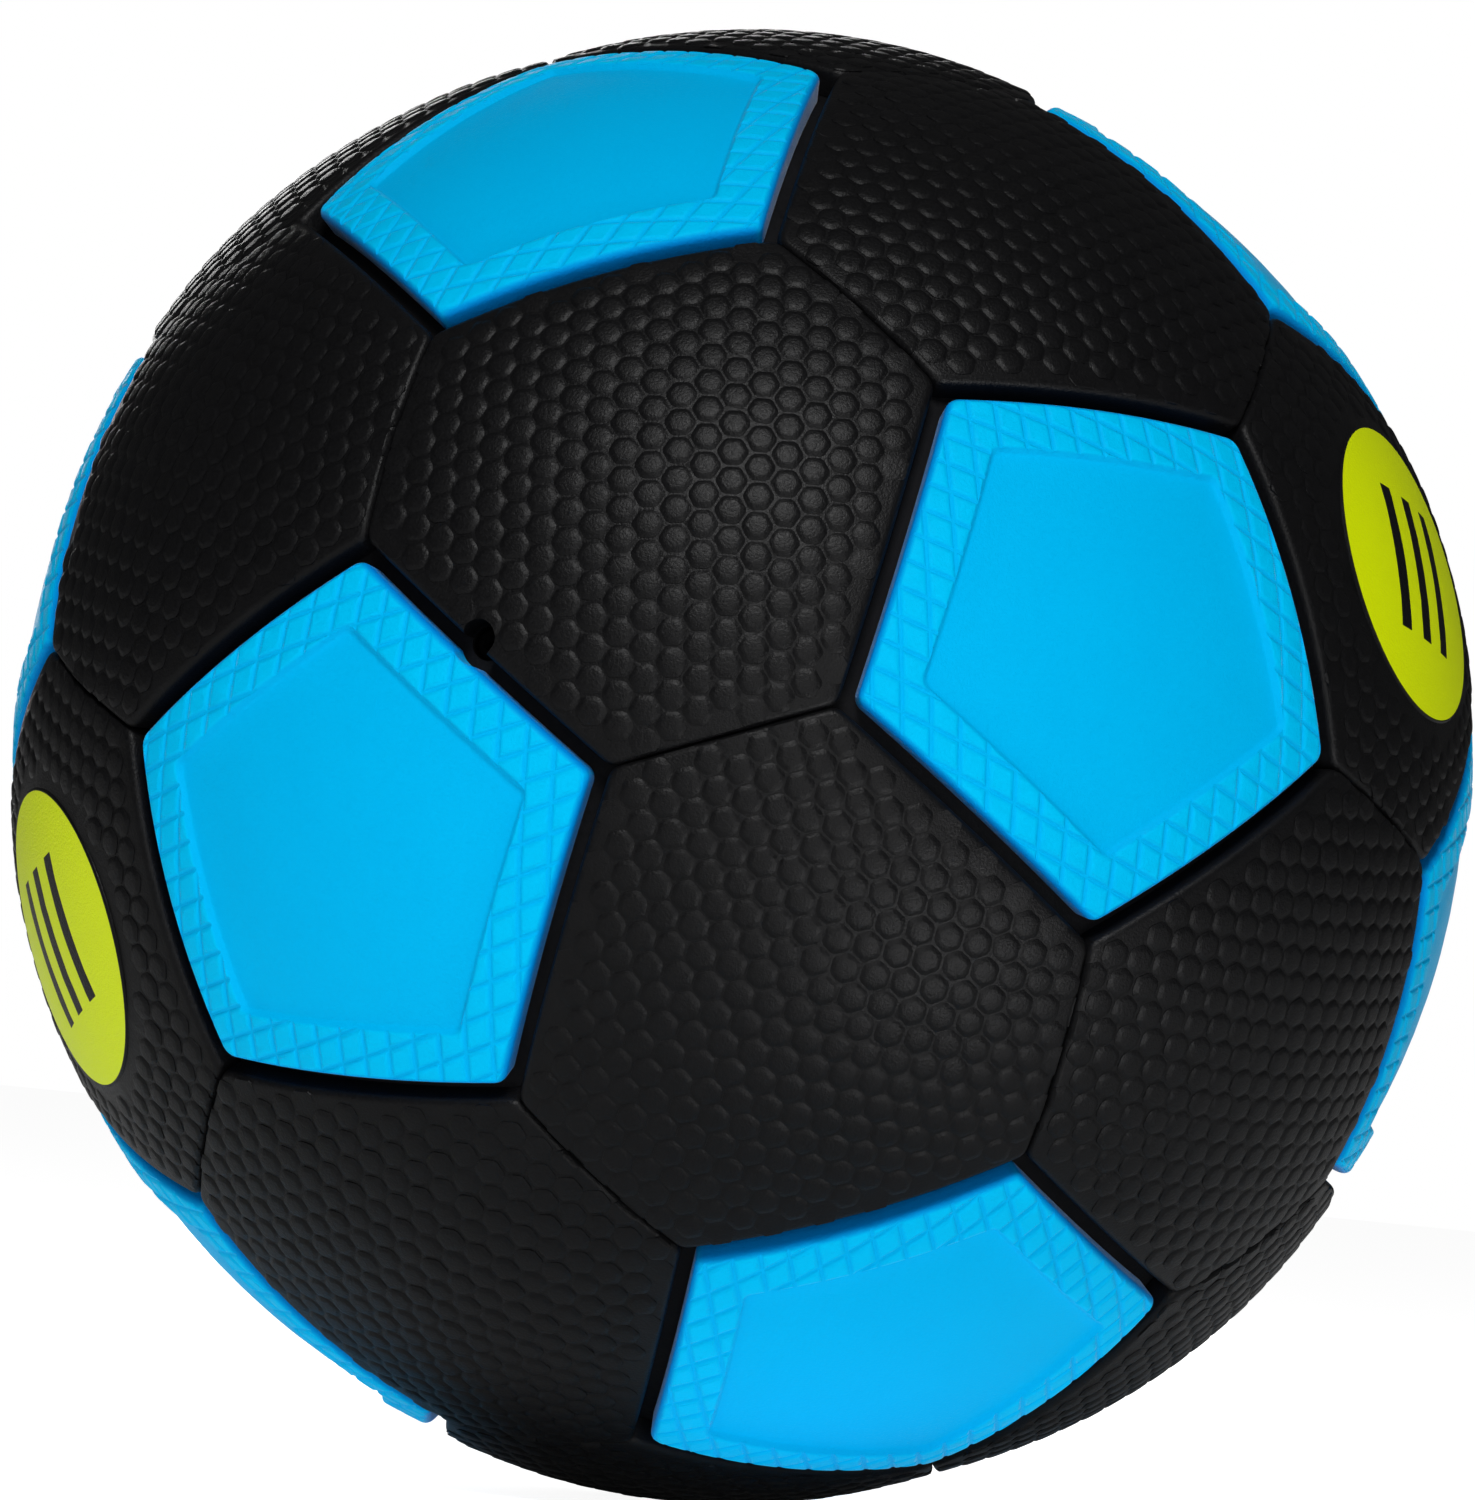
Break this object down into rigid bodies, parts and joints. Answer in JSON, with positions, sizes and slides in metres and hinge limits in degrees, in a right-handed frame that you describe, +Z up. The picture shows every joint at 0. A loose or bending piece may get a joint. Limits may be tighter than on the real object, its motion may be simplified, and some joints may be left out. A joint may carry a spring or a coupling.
{
  "type": "soccer ball",
  "caption": "Inflatable soccer ball with a soft foam cover: black studded hexagon panels and blue pentagon pads with cross-hatched rims, glued to a rubber carcass, with a needle valve.",
  "frame": {"origin": "centre of the ball", "axes": "+Z up through the middle of a hexagon panel, with the ball standing on the opposite hexagon; -Y is the front, with the valve on it to the left"},
  "size_m": [0.2126, 0.214, 0.216],
  "materials": {
    "black_foam": "satin moulded foam with a skin",
    "blue_foam": "satin moulded foam with a skin",
    "carcass_rubber": "matt",
    "nylon_thread": "wound thread",
    "butyl_rubber": "satin",
    "valve_rubber": "satin"
  },
  "bodies": {
    "ball": {"bladder": "butyl_rubber", "thread_winding": "nylon_thread", "carcass": "carcass_rubber", "valve_housing": "valve_rubber", "hexagon_panel_01": "black_foam", "hexagon_panel_02": "black_foam", "hexagon_panel_03": "black_foam", "hexagon_panel_04": "black_foam", "hexagon_panel_05": "black_foam", "hexagon_panel_06": "black_foam", "hexagon_panel_07": "black_foam", "hexagon_panel_08": "black_foam", "hexagon_panel_09": "black_foam", "hexagon_panel_10": "black_foam", "hexagon_panel_11": "black_foam", "hexagon_panel_12": "black_foam", "hexagon_panel_13": "black_foam", "hexagon_panel_14": "black_foam", "hexagon_panel_15": "black_foam", "hexagon_panel_16": "black_foam", "hexagon_panel_17": "black_foam", "hexagon_panel_18": "black_foam", "hexagon_panel_19": "black_foam", "hexagon_panel_20": "black_foam", "pentagon_pad_01": "blue_foam", "pentagon_pad_02": "blue_foam", "pentagon_pad_03": "blue_foam", "pentagon_pad_04": "blue_foam", "pentagon_pad_05": "blue_foam", "pentagon_pad_06": "blue_foam", "pentagon_pad_07": "blue_foam", "pentagon_pad_08": "blue_foam", "pentagon_pad_09": "blue_foam", "pentagon_pad_10": "blue_foam", "pentagon_pad_11": "blue_foam", "pentagon_pad_12": "blue_foam"},
    "valve_core": {"valve_core": "valve_rubber"}
  },
  "joints": [
    {"name": "valve_pull", "type": "slide", "parent": "ball", "child": "valve_core", "axis": [-0.3245, -0.941, 0.0965], "range_m": [0, 0.02]}
  ]
}
